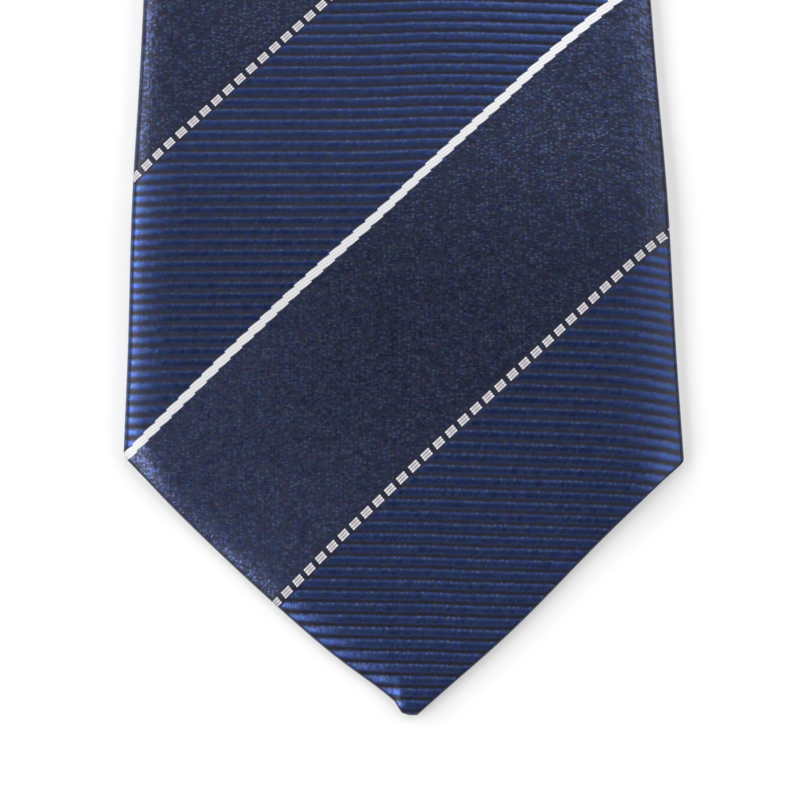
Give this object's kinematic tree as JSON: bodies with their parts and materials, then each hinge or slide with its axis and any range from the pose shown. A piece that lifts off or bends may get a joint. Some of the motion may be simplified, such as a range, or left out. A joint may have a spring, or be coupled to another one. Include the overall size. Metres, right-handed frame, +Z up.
{
  "type": "self-tie necktie",
  "caption": "Self-tie necktie laid flat face up at full length: folded striped shell with a pointed wide end, narrow neck, narrow end, lining in the back openings and a keeper loop.",
  "frame": {"origin": "middle of the laid tie's bounding box, at the surface it lies on", "axes": "+Y from the wide tip to the narrow tip, +X to the right of the face, +Z up out of the face"},
  "size_m": [0.0847, 1.47, 0.006],
  "materials": {
    "striped_cloth": "woven navy cloth with ribbed and speckled bands and white lines",
    "tipping_lining": "smooth dark navy lining"
  },
  "bodies": {
    "root": {"wide_blade": "striped_cloth", "neck_band": "striped_cloth", "narrow_blade": "striped_cloth", "wide_tipping": "tipping_lining", "narrow_tipping": "tipping_lining", "keeper_loop": "striped_cloth"}
  },
  "joints": []
}
